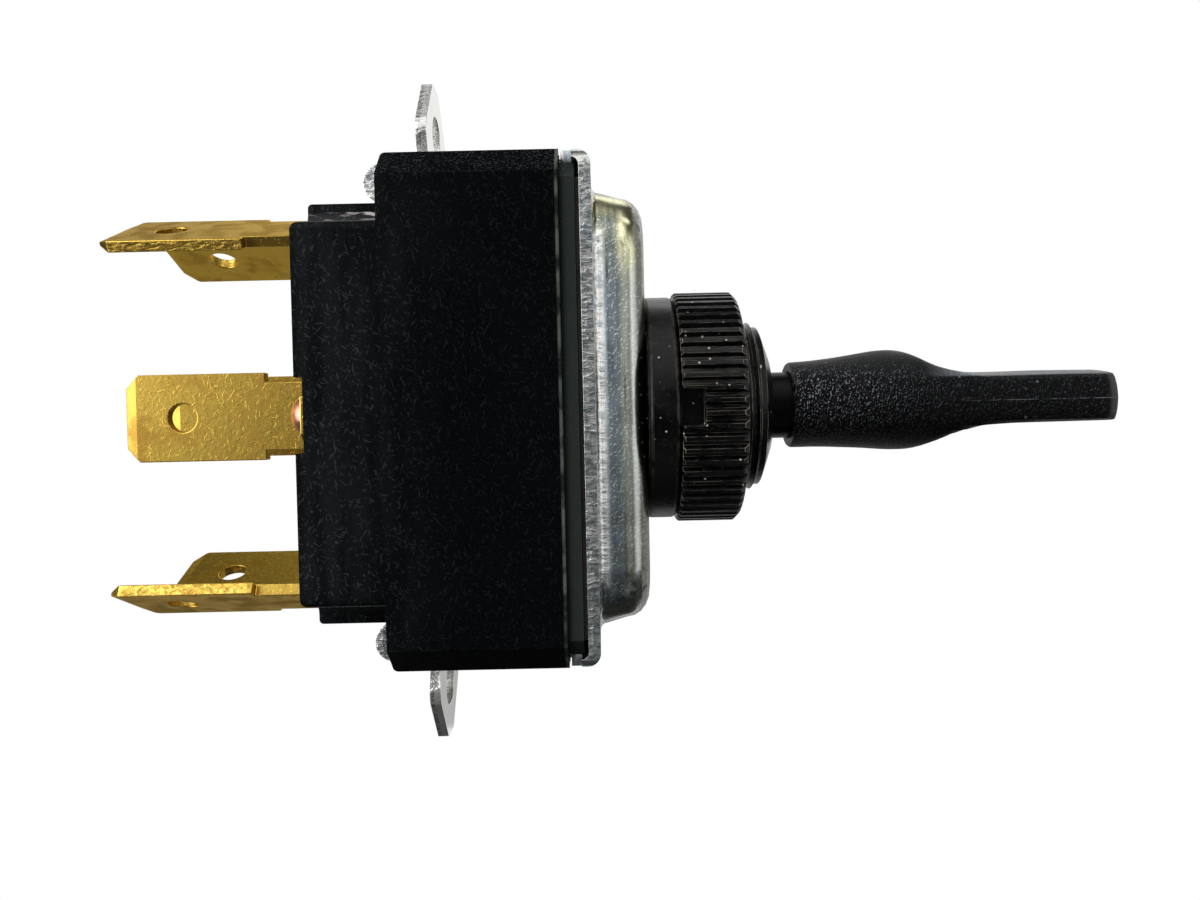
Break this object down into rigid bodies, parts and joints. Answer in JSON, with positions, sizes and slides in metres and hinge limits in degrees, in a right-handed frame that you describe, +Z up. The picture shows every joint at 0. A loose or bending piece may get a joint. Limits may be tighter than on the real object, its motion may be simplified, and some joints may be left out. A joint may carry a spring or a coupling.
{
  "type": "toggle switch",
  "caption": "Panel-mounted double-pole toggle switch: duckbill lever in a threaded bushing with a knurled nut, plated cover with pierced ears, moulded housing and blade terminals.",
  "frame": {"origin": "on the lever's axis, in the front face of the cover's dome, where the back ring sits", "axes": "+X out of the panel along the lever, +Z up along the long side of the body, the way the lever toggles, +Y across the body's thickness, away from the picture's camera"},
  "size_m": [0.0722, 0.02, 0.049],
  "materials": {
    "moulded_black": "satin, scuffed",
    "nut_black": "satin, worn on the ridges",
    "collar_black": "satin black",
    "stem_black": "gloss black",
    "handle_black": "fine-grained, matt",
    "zinc_plate": "zinc plated, faint passivate tint",
    "fibre": "vulcanised fibre",
    "terminal_brass": "rolled brass, scratched",
    "rivet_copper": "copper, riveted",
    "contact_silver": "silver contact",
    "spring_steel": "spring wire",
    "carrier": "moulded phenolic"
  },
  "bodies": {
    "body": {"housing": "moulded_black", "cover": "zinc_plate", "insulator": "fibre", "bushing": "collar_black", "back_ring": "collar_black", "pivot_pin": "spring_steel", "near_fulcrum": "terminal_brass", "far_fulcrum": "terminal_brass", "fixed_contacts": "contact_silver", "terminal_rivets": "rivet_copper", "upper_near_terminal": "terminal_brass", "middle_near_terminal": "terminal_brass", "lower_near_terminal": "terminal_brass", "upper_far_terminal": "terminal_brass", "middle_far_terminal": "terminal_brass", "lower_far_terminal": "terminal_brass"},
    "lever": {"lever_stem": "stem_black", "handle": "handle_black", "actuator": "carrier", "near_plunger_spring": "spring_steel", "far_plunger_spring": "spring_steel"},
    "near_plunger": {"near_plunger": "carrier"},
    "far_plunger": {"far_plunger": "carrier"},
    "near_rocker": {"near_rocker": "terminal_brass", "near_moving_contacts": "contact_silver"},
    "far_rocker": {"far_rocker": "terminal_brass", "far_moving_contacts": "contact_silver"},
    "nut": {"knurled_nut": "nut_black"}
  },
  "joints": [
    {"name": "lever_toggle", "type": "hinge", "parent": "body", "child": "lever", "pos_m": [0.0056, 0, 0], "axis": [0, 1, 0], "range_deg": [-13, 13], "stiffness_Nm_per_rad": 0.5},
    {"name": "near_plunger_slide", "type": "slide", "parent": "lever", "child": "near_plunger", "axis": [1, 0, 0], "range_m": [0, 0.0006], "stiffness_N_per_m": 500, "springref_m": -0.002, "deforming": ["near_plunger_spring"]},
    {"name": "far_plunger_slide", "type": "slide", "parent": "lever", "child": "far_plunger", "axis": [1, 0, 0], "range_m": [0, 0.0006], "stiffness_N_per_m": 500, "springref_m": -0.002, "deforming": ["far_plunger_spring"]},
    {"name": "near_rocker_tip", "type": "hinge", "parent": "body", "child": "near_rocker", "pos_m": [-0.01834, -0.00284, 0], "axis": [0, 1, 0], "range_deg": [-5.4, 5.4]},
    {"name": "far_rocker_tip", "type": "hinge", "parent": "body", "child": "far_rocker", "pos_m": [-0.01834, 0.00284, 0], "axis": [0, 1, 0], "range_deg": [-5.4, 5.4]},
    {"name": "nut_travel", "type": "slide", "parent": "body", "child": "nut", "axis": [1, 0, 0], "range_m": [0, 0.036]}
  ],
  "couplings": [
    {"joint": "near_rocker_tip", "follows": "lever_toggle", "ratio": -0.415},
    {"joint": "far_rocker_tip", "follows": "lever_toggle", "ratio": -0.415}
  ]
}
